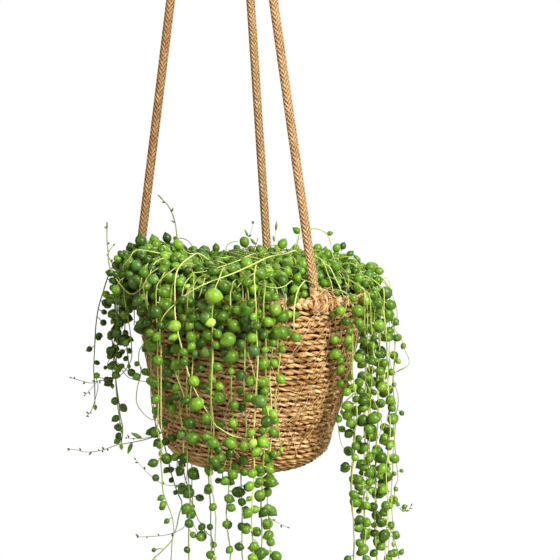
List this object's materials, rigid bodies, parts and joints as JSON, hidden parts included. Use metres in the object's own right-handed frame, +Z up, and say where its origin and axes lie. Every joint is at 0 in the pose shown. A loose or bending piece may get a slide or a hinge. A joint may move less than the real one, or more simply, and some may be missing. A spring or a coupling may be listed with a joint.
{
  "type": "potted string of pearls in a hanging basket",
  "caption": "Trailing string of pearls in a nursery pot inside a round woven seagrass basket, hung on three braided ropes gathered into one loop.",
  "frame": {"origin": "inside top of the hanging loop, where it rests on its hook", "axes": "+Z up, -Y the front that the picture shows, +X to the right of it"},
  "size_m": [0.2571, 0.2608, 0.8771],
  "materials": {
    "seagrass": "matte",
    "jute": "matte",
    "pot_plastic": "matte",
    "potting_soil": "matte",
    "leaf_green": "satin"
  },
  "bodies": {
    "root": {"basket": "seagrass", "grow_pot": "pot_plastic", "hang_loop": "jute", "lashing_back": "seagrass", "lashing_left": "seagrass", "lashing_right": "seagrass", "plant_crown": "leaf_green", "rope_back": "jute", "rope_left": "jute", "rope_right": "jute", "soil": "potting_soil", "strand_back_01": "leaf_green", "strand_back_02": "leaf_green", "strand_back_03": "leaf_green", "strand_back_04": "leaf_green", "strand_back_05": "leaf_green", "strand_back_06": "leaf_green", "strand_back_07": "leaf_green", "strand_back_08": "leaf_green", "strand_front_01": "leaf_green", "strand_front_02": "leaf_green", "strand_front_03": "leaf_green", "strand_front_04": "leaf_green", "strand_front_05": "leaf_green", "strand_front_06": "leaf_green", "strand_front_07": "leaf_green", "strand_front_08": "leaf_green", "strand_front_09": "leaf_green", "strand_front_10": "leaf_green", "strand_front_11": "leaf_green", "strand_front_12": "leaf_green", "strand_front_13": "leaf_green", "strand_front_14": "leaf_green", "strand_left_01": "leaf_green", "strand_left_02": "leaf_green", "strand_left_03": "leaf_green", "strand_left_04": "leaf_green", "strand_left_05": "leaf_green", "strand_right_01": "leaf_green", "strand_right_02": "leaf_green", "strand_right_03": "leaf_green", "strand_right_04": "leaf_green", "strand_right_05": "leaf_green", "strand_right_06": "leaf_green", "strand_right_07": "leaf_green", "strand_right_08": "leaf_green", "strand_right_09": "leaf_green", "strand_right_10": "leaf_green", "top_binding": "jute"}
  },
  "joints": []
}
